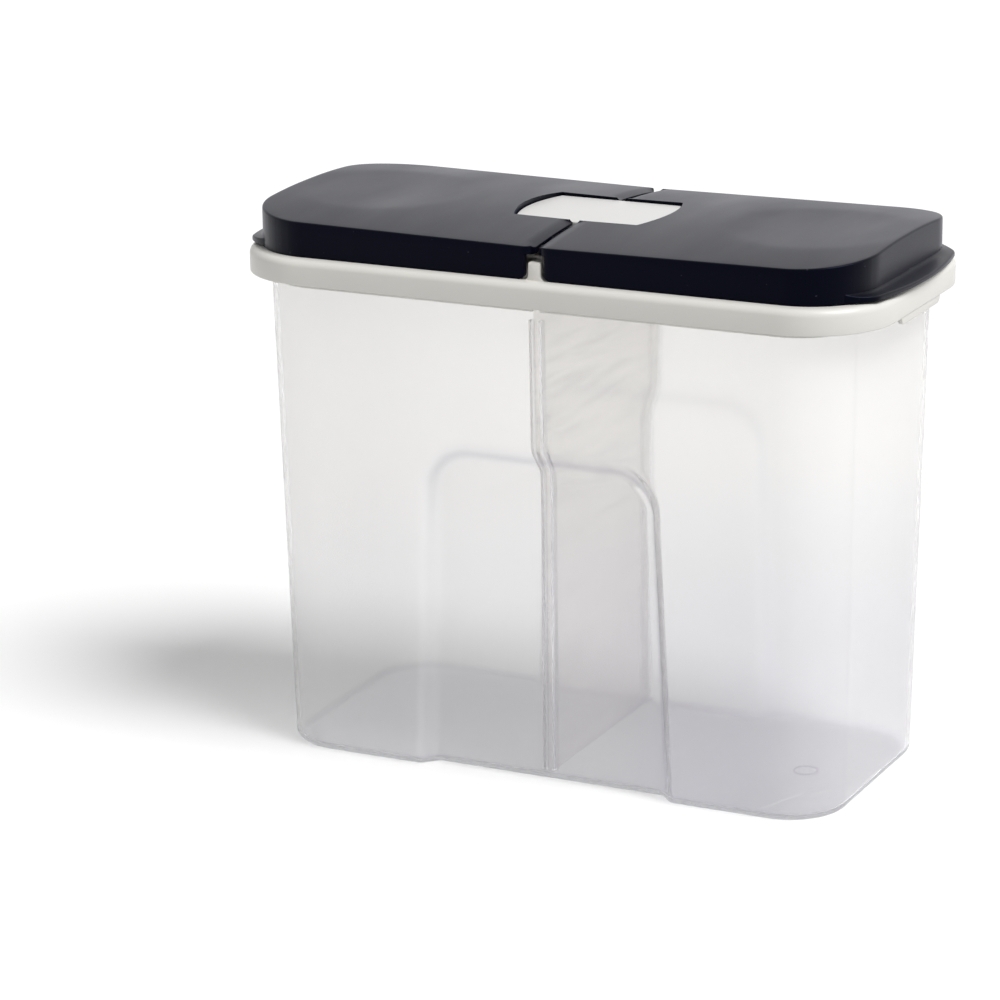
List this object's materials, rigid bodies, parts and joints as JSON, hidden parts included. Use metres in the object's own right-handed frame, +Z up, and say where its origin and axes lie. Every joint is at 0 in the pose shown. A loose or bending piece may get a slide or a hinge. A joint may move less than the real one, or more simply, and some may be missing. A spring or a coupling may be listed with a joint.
{
  "type": "cereal container",
  "caption": "Divided kitchen keeper: translucent tapered tub with a waisted grip, lift-off collar with pouring mouths, flip flaps hinged back to back beside a centre plate.",
  "frame": {"origin": "on the floor, under the middle of the tub's base", "axes": "+X along the length towards the right flap, -Y towards the front with the waist recess, +Z up"},
  "size_m": [0.2444, 0.115, 0.1982],
  "materials": {
    "tub": "frosted translucent polypropylene, fine matt face",
    "divider": "frosted translucent polypropylene sheet",
    "collar": "warm white moulded plastic, satin gloss",
    "centre_plate": "warm white moulded plastic, satin gloss",
    "flap": "very dark blue-black moulded plastic, smooth semi-gloss"
  },
  "bodies": {
    "tub": {"tub": "tub"},
    "divider": {"divider": "divider"},
    "collar": {"collar": "collar", "centre_plate": "centre_plate"},
    "left_flap": {"left_flap": "flap"},
    "right_flap": {"right_flap": "flap"}
  },
  "joints": [
    {"name": "collar_lift", "type": "slide", "parent": "tub", "child": "collar", "axis": [0, 0, 1], "range_m": [0, 0.2]},
    {"name": "divider_lift", "type": "slide", "parent": "tub", "child": "divider", "axis": [0, 0, 1], "range_m": [0, 0.19]},
    {"name": "left_flap_hinge", "type": "hinge", "parent": "collar", "child": "left_flap", "pos_m": [-0.006, 0, 0.192], "axis": [0, 1, 0], "range_deg": [0, 88]},
    {"name": "right_flap_hinge", "type": "hinge", "parent": "collar", "child": "right_flap", "pos_m": [0.006, 0, 0.192], "axis": [0, -1, 0], "range_deg": [0, 88]}
  ],
  "couplings": [
    {"joint": "divider_lift", "follows": "collar_lift", "ratio": 0.95}
  ]
}
